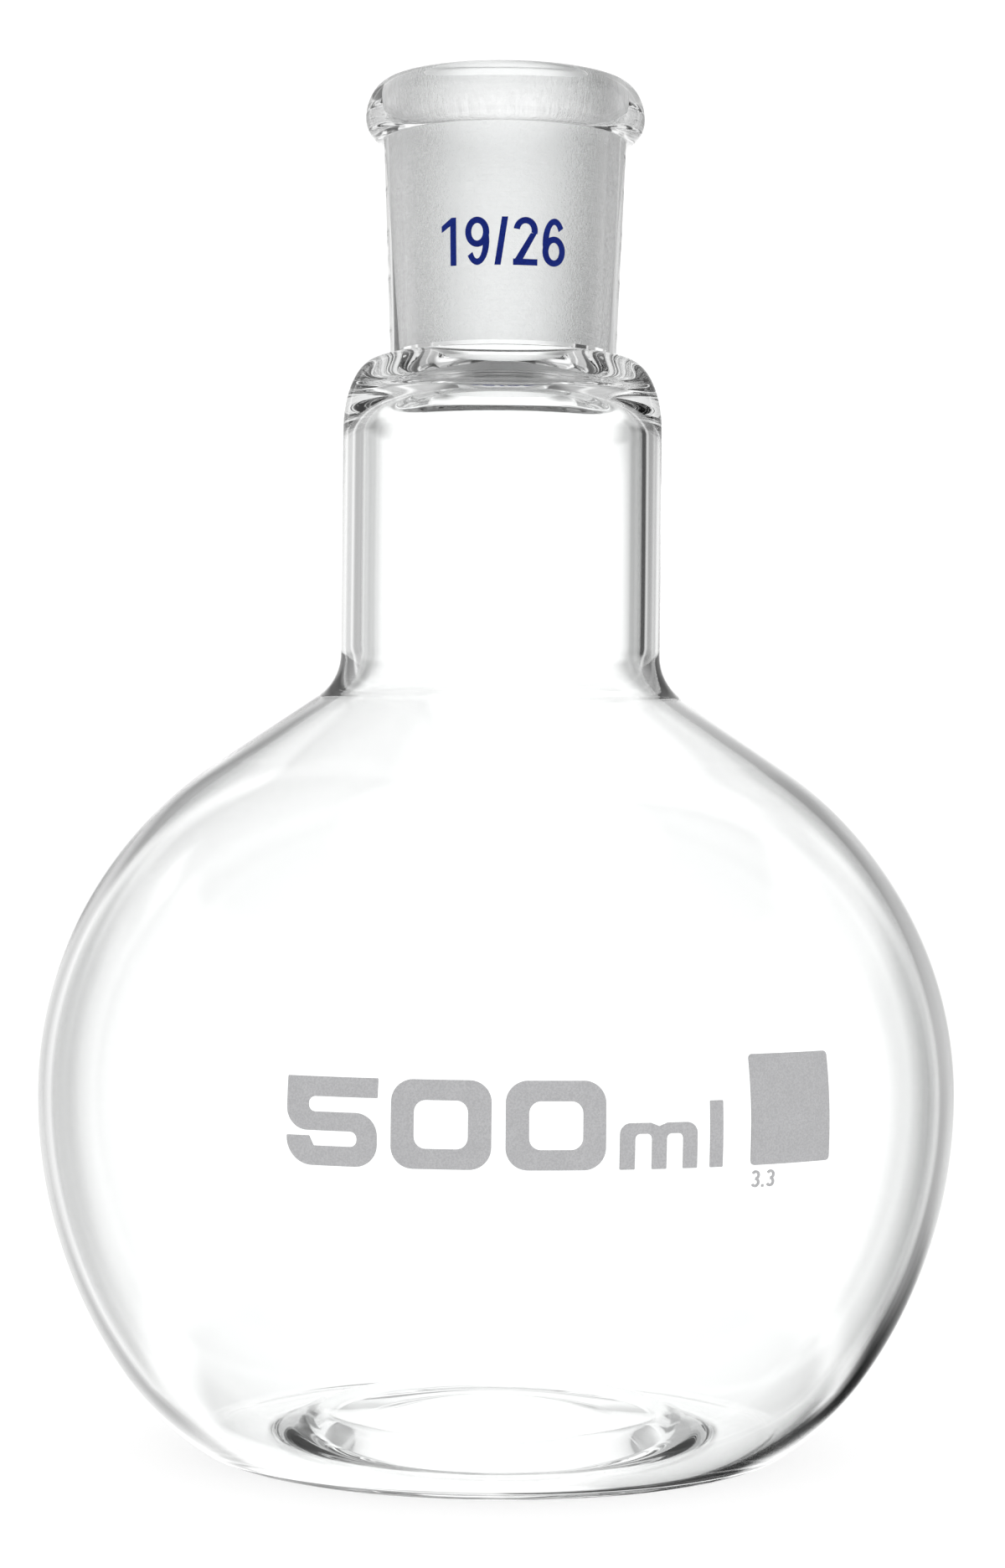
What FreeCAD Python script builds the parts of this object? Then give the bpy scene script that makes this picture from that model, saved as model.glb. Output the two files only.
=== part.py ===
import FreeCAD, Part
import math
import os

# Flat-bottomed round flask of blown borosilicate glass, 500 ml, with a ground 19/26 socket at its mouth.
# Millimetres, +Z up along the axis. The origin is on the axis, in the plane that the base stands on.
# The glass is one solid of revolution with its true wall section; the fired enamel marks lie on its face.

# Bulb: two arcs that meet at the widest level, both centred on that level
bulb_radius = 52.5
upper_arc_radius = 45.2
lower_arc_radius = 55.8
bulb_wall = 1.7

# Base: lower arc, heel run and heel follow each other tangentially, then the ring that it stands on
heel_run_radius = 32.0
heel_radius = 4.2
heel_run_start_deg = 34.1
heel_start_deg = 56.7

# Push-up under the base and the raised floor over it; the floor's flank is the steeper one
punt_foot_radius = 26.0
punt_top_radius = 9.0
punt_height = 1.8
base_thickness = 2.6
floor_foot_radius = 26.5
floor_top_radius = 19.0

# Neck, with the straight slope and the hollow fillet that lead up to it from the bulb
slope_deg = 34.0
neck_radius = 18.4
neck_wall = 2.25
neck_fillet_radius = 6.0
neck_length = 25.8

# Closed top of the neck, which carries the socket
shoulder_rise = 8.2
shoulder_step = 1.2
step_fillet_radius = 0.35
roof_thickness = 4.1
roof_rise = 5.0
bore_lip = 4.7

# Ground socket: 18.8 mm at the wide end, 26 mm long, narrowing 1 mm on the diameter in 10 mm
joint_large_diameter = 18.8
joint_length = 26.0
joint_taper_run = 10.0
socket_seat_rise = 1.1
ground_overrun = 2.9
socket_wall_bottom = 4.95
socket_wall_top = 4.7

# Beaded rim
bead_projection = 2.1
bead_underside_rise = 2.6
bead_crown_rise = 4.3
mouth_lip_width = 3.45
mouth_lip_rise = 1.9

# Enamel marks on the front, which is the -Y side. The thickness counts from the glass to the enamel's face
enamel_thickness = 0.17
enamel_clearance = 0.1
print_baseline = 37.3
print_start_arc = -21.8
letter_gap = 1.45
spot_gap = 3.4
spot_width = 10.5
spot_height = 11.35
spot_corner_radius = 0.45

# Figures and letters of the capacity mark
figure_height = 9.0
five_width = 9.75
zero_width = 10.2
zero_stem = 2.35
zero_bar = 2.05
zero_corner_radius = 2.25
zero_counter_radius = 1.2
five_bar = 2.0
five_middle_bar = 1.9
five_left_stem = 2.4
five_right_stem = 2.1
five_bowl_radius = 2.3
five_foot_radius = 2.8
five_slot_radius = 0.7
five_terminal_width = 2.5
five_terminal_rise = 1.0
letter_m_width = 8.4
letter_m_height = 4.7
letter_m_stem = 1.6
letter_m_bar = 1.1
letter_m_shoulder_radius = 1.15
letter_m_arch_radius = 0.5
letter_m_notch_depth = 0.35
letter_m_notch_width = 1.8
letter_l_width = 1.5
letter_l_height = 6.8
print_edge_radius = 0.1

# Joint size mark, in blue on the socket: figures drawn with one stroke width
joint_mark_start_arc = -7.33
joint_mark_rise = 9.0
joint_figure_height = 5.35
joint_figure_width = 2.75
joint_figure_gap = 0.6
joint_stroke = 0.7
one_width = 2.3
one_stem_left = 1.1
one_flag_drop = 1.6
nine_bowl_height = 3.35
nine_tail_rise = 1.2
two_bowl_height = 3.0
slash_width = 1.5

# A cubic curve with its handles at this share of the corner is a quarter of an ellipse
QUARTER = 0.5523

# Margin by which the letter prisms and the enamel shell reach past each other before they are cut
CUT_MARGIN = 1.5


def point(r, z):
    """Gives the point at radius r and height z in the half plane that is turned into the flask."""
    return FreeCAD.Vector(r, 0, z)


def on_circle(centre, radius, degrees):
    """Gives the (r, z) pair at an angle on a circle, counted from the outward direction."""
    angle = math.radians(degrees)
    return (centre[0] + radius * math.cos(angle), centre[1] + radius * math.sin(angle))


def line(start, end):
    """Makes a straight edge between two (r, z) pairs."""
    return Part.LineSegment(point(*start), point(*end)).toShape()


def arc(centre, radius, start, end):
    """Makes an arc edge about a centre, from one angle in degrees to another."""
    ends = [on_circle(centre, radius, a) for a in (start, (start + end) / 2, end)]
    return Part.Arc(*[point(*p) for p in ends]).toShape()


def quarter(start, corner, end):
    """Makes a quarter of an ellipse from start to end, whose tangents there meet in the corner."""
    def handle(p):
        return tuple(a + (c - a) * QUARTER for a, c in zip(p, corner))
    curve = Part.BezierCurve()
    curve.setPoles([point(*p) for p in (start, handle(start), handle(end), end)])
    return curve.toShape()


def step_curve(start, end):
    """Makes a soft step between two levels, which leaves the one and meets the other without a slope."""
    third = (end[0] - start[0]) / 3
    curve = Part.BezierCurve()
    curve.setPoles([point(*p) for p in (start, (start[0] + third, start[1]), (end[0] - third, end[1]), end)])
    return curve.toShape()


def slope_and_fillet(arc_radius, fillet_radius, wall_radius):
    """Leads from a bulb arc up its straight slope and round the hollow fillet to a neck wall.

    Returns the edges from the widest level upwards, and the height where the neck wall starts.
    """
    turn = 90 - slope_deg
    reach = arc_radius + fillet_radius
    fillet_r = wall_radius + fillet_radius
    run = upper_centre[0] + reach * math.cos(math.radians(turn)) - fillet_r
    run /= math.sin(math.radians(turn))
    along = on_circle((0, 0), run, turn + 90)
    normal = on_circle(upper_centre, reach, turn)
    fillet_centre = (normal[0] + along[0], normal[1] + along[1])
    edges = [
        arc(upper_centre, arc_radius, 0, turn),
        line(on_circle(upper_centre, arc_radius, turn), on_circle(fillet_centre, fillet_radius, turn - 180)),
        arc(fillet_centre, fillet_radius, turn + 180, 180),
    ]
    return edges, fillet_centre[1]


def glass_profile():
    """Makes the closed outline of the glass wall, from the middle of the base, out, up, in and down."""
    outer = [
        line((0, punt_height), (punt_top_radius, punt_height)),
        step_curve((punt_top_radius, punt_height), (punt_foot_radius, 0)),
        line((punt_foot_radius, 0), (bearing_radius, 0)),
        arc(heel_centre, heel_radius, -90, -heel_start_deg),
        arc(run_centre, heel_run_radius, -heel_start_deg, -heel_run_start_deg),
        arc(lower_centre, lower_arc_radius, -heel_run_start_deg, 0),
    ]
    outer += slope_and_fillet(upper_arc_radius, neck_fillet_radius, neck_radius)[0]
    tube_foot = (socket_foot_radius, shoulder_top + step_fillet_radius)
    step_inner = (socket_foot_radius + step_fillet_radius, shoulder_top)
    outer += [
        line((neck_radius, neck_foot), (neck_radius, neck_top)),
        quarter((neck_radius, neck_top), (neck_radius, shoulder_top), (step_radius, shoulder_top)),
        line((step_radius, shoulder_top), step_inner),
        quarter(step_inner, (socket_foot_radius, shoulder_top), tube_foot),
        line(tube_foot, (socket_head_radius, bead_foot)),
        quarter((socket_head_radius, bead_foot), (bead_radius, bead_foot), (bead_radius, bead_middle)),
        quarter((bead_radius, bead_middle), (bead_radius, rim_top), (crest_radius, rim_top)),
        quarter((crest_radius, rim_top), (ground_head_radius, rim_top), (ground_head_radius, ground_head)),
    ]
    inner_rise, inner_foot = slope_and_fillet(
        upper_arc_radius - bulb_wall, neck_fillet_radius + neck_wall, neck_bore_radius)
    lip_end = (bore_radius + bore_lip, roof)
    inner = [
        line((ground_head_radius, ground_head), (bore_radius, ground_foot)),
        line((bore_radius, ground_foot), (bore_radius, roof + bore_lip)),
        quarter((bore_radius, roof + bore_lip), (bore_radius, roof), lip_end),
        quarter(lip_end, (neck_bore_radius, roof), (neck_bore_radius, roof - roof_rise)),
        line((neck_bore_radius, roof - roof_rise), (neck_bore_radius, inner_foot)),
    ]
    inner += inner_rise[::-1]
    inner += [
        arc(lower_centre, lower_arc_radius - bulb_wall, 0, -heel_run_start_deg),
        arc(run_centre, heel_run_radius - bulb_wall, -heel_run_start_deg, -heel_start_deg),
        arc(heel_centre, heel_radius - bulb_wall, -heel_start_deg, -90),
        line((bearing_radius, bulb_wall), (floor_foot_radius, bulb_wall)),
        step_curve((floor_foot_radius, bulb_wall), (floor_top_radius, floor_top)),
        line((floor_top_radius, floor_top), (0, floor_top)),
        line((0, floor_top), (0, punt_height)),
    ]
    return Part.Face(Part.Wire(Part.__sortEdges__(outer + inner)))


def turned(face):
    """Turns a face in the XZ plane into a full solid of revolution about the axis."""
    return face.revolve(FreeCAD.Vector(0, 0, 0), FreeCAD.Vector(0, 0, 1), 360)


def enamel_shell():
    """Makes the thin shell on the bulb's face that the marks are cut from."""
    outside = bulb_radius + enamel_thickness
    below = equator_height - print_baseline + CUT_MARGIN
    above = print_baseline + spot_height + CUT_MARGIN - equator_height
    low = -math.degrees(math.asin(below / lower_arc_radius))
    high = math.degrees(math.asin(above / upper_arc_radius))
    lower_inside = lower_arc_radius + enamel_clearance
    upper_inside = upper_arc_radius + enamel_clearance
    inner = [arc(lower_centre, lower_inside, low, 0), arc(upper_centre, upper_inside, 0, high)]
    lower_outside = outside - lower_centre[0]
    upper_outside = outside - upper_centre[0]
    outer = [arc(lower_centre, lower_outside, low, 0), arc(upper_centre, upper_outside, 0, high)]
    ends = [
        line(on_circle(lower_centre, lower_inside, low), on_circle(lower_centre, lower_outside, low)),
        line(on_circle(upper_centre, upper_inside, high), on_circle(upper_centre, upper_outside, high)),
    ]
    return turned(Part.Face(Part.Wire(Part.__sortEdges__(inner + outer + ends))))


def socket_shell():
    """Makes the thin shell on the socket's outer face that the joint size mark is cut from."""
    foot = (socket_foot_radius + enamel_clearance, shoulder_top + step_fillet_radius)
    head = (socket_head_radius + enamel_clearance, bead_foot)
    outer_foot = (socket_foot_radius + enamel_thickness, foot[1])
    outer_head = (socket_head_radius + enamel_thickness, head[1])
    edges = [line(foot, outer_foot), line(outer_foot, outer_head), line(outer_head, head), line(head, foot)]
    return turned(Part.Face(Part.Wire(edges)))


def rounded_outline(corners):
    """Makes a closed flat outline in the XZ plane from (x, z, corner radius) triples."""
    edges = []
    last_end = None
    first_start = None
    for i, (x, z, radius) in enumerate(corners):
        here = FreeCAD.Vector(x, 0, z)
        back = FreeCAD.Vector(corners[i - 1][0] - x, 0, corners[i - 1][1] - z).normalize()
        after = corners[(i + 1) % len(corners)]
        ahead = FreeCAD.Vector(after[0] - x, 0, after[1] - z).normalize()
        half = back.getAngle(ahead) / 2
        reach = radius / math.tan(half)
        middle = (back + ahead).normalize()
        nearest = here + middle * (radius / math.sin(half) - radius)
        start = here + back * reach
        end = here + ahead * reach
        if last_end is not None:
            edges.append(Part.LineSegment(last_end, start).toShape())
        else:
            first_start = start
        edges.append(Part.Arc(start, nearest, end).toShape())
        last_end = end
    edges.append(Part.LineSegment(last_end, first_start).toShape())
    return Part.Face(Part.Wire(edges))


def rectangle(left, bottom, right, top, radius):
    """Makes a flat rectangle with rounded corners."""
    corners = [(left, bottom), (left, top), (right, top), (right, bottom)]
    return rounded_outline([(x, z, radius) for x, z in corners])


def figure_zero():
    """Makes the figure 0: a rounded rectangle with a rounded counter."""
    outside = rectangle(0, 0, zero_width, figure_height, zero_corner_radius)
    counter = rectangle(
        zero_stem, zero_bar, zero_width - zero_stem, figure_height - zero_bar, zero_counter_radius)
    return outside.cut(counter)


def figure_five():
    """Makes the figure 5 as one outline: flag, upper bowl, lower bowl and foot."""
    edge = print_edge_radius
    slot = (figure_height - 2 * five_bar - five_middle_bar) / 2
    flag = figure_height - five_bar
    middle_top = flag - slot
    middle_bottom = five_bar + slot
    bowl_inside = five_width - five_right_stem
    terminal = five_bar + five_terminal_rise
    return rounded_outline([
        (0, figure_height, edge),
        (five_width, figure_height, edge),
        (five_width, flag, edge),
        (five_left_stem, flag, five_slot_radius),
        (five_left_stem, middle_top, five_slot_radius),
        (five_width, middle_top, five_bowl_radius),
        (five_width, 0, five_bowl_radius),
        (0, 0, five_foot_radius),
        (0, terminal, edge),
        (five_terminal_width, terminal, edge),
        (five_terminal_width + five_terminal_rise / 2, five_bar, edge),
        (bowl_inside, five_bar, five_slot_radius),
        (bowl_inside, middle_bottom, five_slot_radius),
        (0, middle_bottom, five_bowl_radius),
    ])


def letter_m():
    """Makes the letter m as one outline: two arches with a shallow notch between them."""
    edge = print_edge_radius
    middle = letter_m_width / 2
    arch = letter_m_height - letter_m_bar
    notch = letter_m_notch_width / 2
    corners = [
        (0, 0, edge),
        (0, letter_m_height, letter_m_shoulder_radius),
        (middle - notch, letter_m_height, edge),
        (middle, letter_m_height - letter_m_notch_depth, edge),
        (middle + notch, letter_m_height, edge),
        (letter_m_width, letter_m_height, letter_m_shoulder_radius),
        (letter_m_width, 0, edge),
    ]
    for side in (letter_m_width - letter_m_stem, middle - letter_m_stem / 2):
        inside = side - (middle - 1.5 * letter_m_stem)
        corners += [(side, 0, edge), (side, arch, letter_m_arch_radius)]
        corners += [(inside, arch, letter_m_arch_radius), (inside, 0, edge)]
    return rounded_outline(corners)


def letter_l():
    """Makes the letter l: a plain upright bar."""
    return rectangle(0, 0, letter_l_width, letter_l_height, print_edge_radius)


def polygon(*corners):
    """Makes a flat face in the XZ plane from (x, z) corners."""
    vertices = [FreeCAD.Vector(x, 0, z) for x, z in corners + corners[:1]]
    return Part.Face(Part.makePolygon(vertices))


def ellipse_face(x, z, half_width, half_height):
    """Makes a flat upright ellipse in the XZ plane, taller than it is wide."""
    centre = FreeCAD.Vector(x, 0, z)
    top = FreeCAD.Vector(x, 0, z + half_height)
    side = FreeCAD.Vector(x + half_width, 0, z)
    return Part.Face(Part.Wire(Part.Ellipse(top, side, centre).toShape()))


def ring(z, height):
    """Makes an elliptical ring of one stroke width, as wide as a figure, with its middle at height z."""
    x = joint_figure_width / 2
    outside = ellipse_face(x, z, x, height / 2)
    return outside.cut(ellipse_face(x, z, x - joint_stroke, height / 2 - joint_stroke))


def small_one():
    """Makes the small figure 1: an upright stem with a flag at its top left."""
    stem_right = one_stem_left + joint_stroke
    flag_low = joint_figure_height - one_flag_drop
    return polygon(
        (one_stem_left, 0),
        (stem_right, 0),
        (stem_right, joint_figure_height),
        (one_stem_left + joint_stroke / 4, joint_figure_height),
        (0, flag_low + joint_stroke),
        (0, flag_low),
        (one_stem_left, flag_low + joint_stroke),
    )


def small_nine():
    """Makes the small figure 9: a bowl, and the lower right of a full-height ring with its tail."""
    middle = joint_figure_width / 2
    bowl_middle = joint_figure_height - nine_bowl_height / 2
    tail = ring(joint_figure_height / 2, joint_figure_height)
    tail = tail.cut(rectangle(-middle, nine_tail_rise, middle, 2 * joint_figure_height, print_edge_radius))
    tail = tail.cut(rectangle(-middle, bowl_middle, 3 * middle, 2 * joint_figure_height, print_edge_radius))
    return ring(bowl_middle, nine_bowl_height).fuse(tail)


def small_six():
    """Makes the small figure 6: the 9 turned by half a turn about its own middle."""
    figure = small_nine()
    centre = FreeCAD.Vector(joint_figure_width / 2, 0, joint_figure_height / 2)
    figure.rotate(centre, FreeCAD.Vector(0, 1, 0), 180)
    return figure


def small_two():
    """Makes the small figure 2: the top of a bowl, a slanting stroke and a foot."""
    middle = joint_figure_width / 2
    bowl_middle = joint_figure_height - two_bowl_height / 2
    bowl = ring(bowl_middle, two_bowl_height)
    low = bowl_middle - joint_stroke / 2
    bowl = bowl.cut(rectangle(-middle, -middle, middle, bowl_middle, print_edge_radius))
    bowl = bowl.cut(rectangle(-middle, -middle, 3 * middle, low, print_edge_radius))
    slant = polygon(
        (0, joint_stroke / 2),
        (joint_stroke * 1.3, joint_stroke / 2),
        (joint_figure_width - joint_stroke / 8, low + joint_stroke / 8),
        (joint_figure_width - joint_stroke * 1.15, low + joint_stroke / 8),
    )
    foot = polygon((0, 0), (joint_figure_width, 0), (joint_figure_width, joint_stroke), (0, joint_stroke))
    return bowl.fuse([slant, foot])


def small_slash():
    """Makes the small slanting stroke between the figures."""
    top = joint_figure_height
    return polygon((0, 0), (joint_stroke, 0), (slash_width, top), (slash_width - joint_stroke, top))


def laid_on(flat, width, arc_middle, baseline, radius, shell):
    """Lays a flat mark on a round face of the glass and cuts it from the enamel shell there.

    The mark is pushed straight inwards at its own place round the axis, given along the arc from the front.
    """
    depth = radius + CUT_MARGIN
    mark = flat.copy()
    mark.translate(FreeCAD.Vector(-width / 2, -depth, baseline))
    block = mark.extrude(FreeCAD.Vector(0, depth - radius / 2, 0))
    block.rotate(FreeCAD.Vector(0, 0, 0), FreeCAD.Vector(0, 0, 1), math.degrees(arc_middle / radius))
    pieces = block.common(shell).Solids
    if len(pieces) > 1:
        pieces = pieces[0].fuse(pieces[1:]).removeSplitter().Solids
    return pieces


def row_of_marks(marks, start_arc, gap, baseline, radius, shell):
    """Lays marks side by side along the arc and returns their solids and the arc where the row ends."""
    solids = []
    left = start_arc
    for flat, width in marks:
        solids += laid_on(flat, width, left + width / 2, baseline, radius, shell)
        left += width + gap
    return solids, left - gap


def save(node, shape):
    """Writes one node's solids and prints their size."""
    shape.exportStep("parts/" + node + ".step")
    box = shape.BoundBox
    print(node, "solids", len(shape.Solids), "valid", shape.isValid(), "volume mm3", round(shape.Volume, 1),
          "z", round(box.ZMin, 3), round(box.ZMax, 3), "x", round(box.XMin, 3), round(box.XMax, 3))


# The bulb's centres, and the level of its widest place above the bench
run_sine = math.sin(math.radians(heel_run_start_deg))
heel_sine = math.sin(math.radians(heel_start_deg))
equator_height = (lower_arc_radius - heel_run_radius) * run_sine
equator_height += (heel_run_radius - heel_radius) * heel_sine + heel_radius
upper_centre = (bulb_radius - upper_arc_radius, equator_height)
lower_centre = (bulb_radius - lower_arc_radius, equator_height)
run_centre = on_circle(lower_centre, lower_arc_radius - heel_run_radius, -heel_run_start_deg)
heel_centre = on_circle(run_centre, heel_run_radius - heel_radius, -heel_start_deg)

# The outer edge of the ring that the flask stands on, and the level of the floor over the push-up
bearing_radius = heel_centre[0]
floor_top = punt_height + base_thickness

# Levels up the neck
neck_bore_radius = neck_radius - neck_wall
neck_foot = slope_and_fillet(upper_arc_radius, neck_fillet_radius, neck_radius)[1]
neck_top = neck_foot + neck_length
shoulder_top = neck_top + shoulder_rise
roof = shoulder_top - roof_thickness

# The socket's levels and radii
ground_foot = shoulder_top + socket_seat_rise
ground_head = ground_foot + joint_length + ground_overrun
rim_top = ground_head + mouth_lip_rise
bead_middle = rim_top - bead_crown_rise
bead_foot = bead_middle - bead_underside_rise
bore_radius = (joint_large_diameter - joint_length / joint_taper_run) / 2
ground_head_radius = bore_radius + (ground_head - ground_foot) / (2 * joint_taper_run)
bead_foot_bore = bore_radius + (bead_foot - ground_foot) / (2 * joint_taper_run)
socket_foot_radius = bore_radius + socket_wall_bottom
socket_head_radius = bead_foot_bore + socket_wall_top
step_radius = socket_foot_radius + shoulder_step
bead_radius = socket_head_radius + bead_projection
crest_radius = ground_head_radius + mouth_lip_width

os.makedirs("parts", exist_ok=True)

save("flask", turned(glass_profile()))

bulb_shell = enamel_shell()
capacity_figures = [
    (figure_five(), five_width),
    (figure_zero(), zero_width),
    (figure_zero(), zero_width),
    (letter_m(), letter_m_width),
    (letter_l(), letter_l_width),
]
capacity_solids, capacity_end = row_of_marks(
    capacity_figures, print_start_arc, letter_gap, print_baseline, bulb_radius, bulb_shell)
save("capacity_mark", Part.makeCompound(capacity_solids))

spot = [(rectangle(0, 0, spot_width, spot_height, spot_corner_radius), spot_width)]
spot_solids, spot_end = row_of_marks(
    spot, capacity_end + spot_gap, letter_gap, print_baseline, bulb_radius, bulb_shell)
save("marking_spot", Part.makeCompound(spot_solids))

joint_figures = [
    (small_one(), one_width),
    (small_nine(), joint_figure_width),
    (small_slash(), slash_width),
    (small_two(), joint_figure_width),
    (small_six(), joint_figure_width),
]
joint_baseline = shoulder_top + joint_mark_rise
mark_radius = (socket_foot_radius + socket_head_radius) / 2
joint_solids, joint_end = row_of_marks(
    joint_figures, joint_mark_start_arc, joint_figure_gap, joint_baseline, mark_radius, socket_shell())
save("joint_size_mark", Part.makeCompound(joint_solids))

print("equator", round(equator_height, 3), "bearing", round(bearing_radius, 3), "rim", round(rim_top, 3),
      "neck foot", round(neck_foot, 3), "shoulder", round(shoulder_top, 3), "roof", round(roof, 3),
      "ground", round(ground_foot, 3), round(ground_head, 3), "socket", round(socket_foot_radius, 3),
      round(socket_head_radius, 3), "bead", round(bead_radius, 3), "crest", round(crest_radius, 3),
      "marks end", round(spot_end, 2), round(joint_end, 2))
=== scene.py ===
"""Looks of a flat-bottomed round flask of clear blown glass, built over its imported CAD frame.

The glass is turned from its true wall section by a Geometry Nodes lathe. The fired enamel marks are
thin skins laid on the glass. Sizes in the classes are in millimetres, and Blender's are in metres.
"""

import logging
import math
from collections.abc import Callable, Sequence
from dataclasses import dataclass, field
from enum import Enum

import bmesh
import bpy
from bpy.types import ID, Material, Node, NodeSocket, NodeTree, Object, World
from mathutils import Matrix, Vector
from mathutils.geometry import delaunay_2d_cdt


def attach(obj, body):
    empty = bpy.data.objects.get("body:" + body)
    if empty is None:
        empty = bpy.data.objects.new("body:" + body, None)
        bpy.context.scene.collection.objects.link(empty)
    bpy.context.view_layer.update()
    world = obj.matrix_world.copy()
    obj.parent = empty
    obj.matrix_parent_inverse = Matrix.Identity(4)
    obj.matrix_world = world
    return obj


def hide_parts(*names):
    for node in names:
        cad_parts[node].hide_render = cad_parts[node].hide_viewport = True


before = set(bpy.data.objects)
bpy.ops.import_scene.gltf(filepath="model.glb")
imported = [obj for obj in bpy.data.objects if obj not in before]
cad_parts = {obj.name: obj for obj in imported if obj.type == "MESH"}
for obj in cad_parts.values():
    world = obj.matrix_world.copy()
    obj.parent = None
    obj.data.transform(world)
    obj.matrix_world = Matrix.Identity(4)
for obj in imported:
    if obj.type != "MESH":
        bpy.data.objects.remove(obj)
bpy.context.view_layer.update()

LOG = logging.getLogger("flask")
MM = 0.001
BODY = "root"
SAME_PLACE = 1e-4
WHITE = (1.0, 1.0, 1.0, 1.0)

Pair = tuple[float, float]
Colour = tuple[float, float, float, float]
Outline = list[Pair]


def on_circle(centre: Pair, radius: float, degrees: float) -> Pair:
    """Gives the point at an angle on a circle, counted from the outward direction."""
    angle = math.radians(degrees)
    return centre[0] + radius * math.cos(angle), centre[1] + radius * math.sin(angle)


def arc_points(centre: Pair, radius: float, start: float, end: float, step: float) -> Outline:
    """Samples an arc between two angles, both included. Angles and the widest gap are in degrees."""
    count = max(1, math.ceil(abs(end - start) / step))
    return [on_circle(centre, radius, start + (end - start) * i / count) for i in range(count + 1)]


def line_points(start: Pair, end: Pair, step: float) -> Outline:
    """Samples a straight line, both ends included, with no gap longer than the step."""
    count = max(1, math.ceil(math.dist(start, end) / step))
    return [
        (start[0] + (end[0] - start[0]) * i / count, start[1] + (end[1] - start[1]) * i / count)
        for i in range(count + 1)
    ]


def quarter_points(start: Pair, end: Pair, count: int, upright: bool = True) -> Outline:
    """Samples the quarter of an ellipse, which starts upright and ends level or the other way."""
    corner = (start[0], end[1]) if upright else (end[0], start[1])
    points = []
    for i in range(count + 1):
        turn = math.pi / 2 * i / count
        along, across = 1 - math.cos(turn), math.sin(turn)
        points.append(tuple(
            s + (c - s) * across + (e - c) * along for s, c, e in zip(start, corner, end)
        ))
    return points


def step_points(start: Pair, end: Pair, count: int) -> Outline:
    """Samples a soft step between two levels, without a slope at either end."""
    points = []
    for i in range(count + 1):
        share = i / count
        rise = share * share * (3 - 2 * share)
        points.append((start[0] + (end[0] - start[0]) * share, start[1] + (end[1] - start[1]) * rise))
    return points


def chain(*runs: Outline) -> Outline:
    """Joins runs of points end to end and leaves out points that repeat the one before."""
    joined: Outline = []
    for run in runs:
        for place in run:
            if not joined or math.dist(joined[-1], place) > SAME_PLACE:
                joined.append(place)
    return joined


def rounded_outline(corners: Sequence[tuple[float, float, float]], step: float) -> Outline:
    """Rounds the corners of a closed flat outline.

    Args:
        corners: (x, z, corner radius) of each corner in order.
        step: The longest gap between two points on the straight sides.

    Returns:
        The closed outline, first point not repeated.
    """
    arcs: list[Outline] = []
    for i, (*place, radius) in enumerate(corners):
        here = Vector(place)
        back = (Vector(corners[i - 1][:2]) - here).normalized()
        ahead = (Vector(corners[(i + 1) % len(corners)][:2]) - here).normalized()
        half = back.angle(ahead) / 2
        reach = radius / math.tan(half)
        centre = here + (back + ahead).normalized() * (radius / math.sin(half))
        first = here + back * reach - centre
        sweep = first.angle_signed(here + ahead * reach - centre)
        start = math.atan2(first.y, first.x)
        count = max(3, math.ceil(abs(sweep) * radius / step * 2))
        angles = [start - sweep * k / count for k in range(count + 1)]
        arcs.append([
            (centre.x + radius * math.cos(a), centre.y + radius * math.sin(a)) for a in angles])
    outline: Outline = []
    for i, run in enumerate(arcs):
        outline = chain(outline, run, line_points(run[-1], arcs[(i + 1) % len(arcs)][0], step))
    return outline[:-1]


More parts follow.
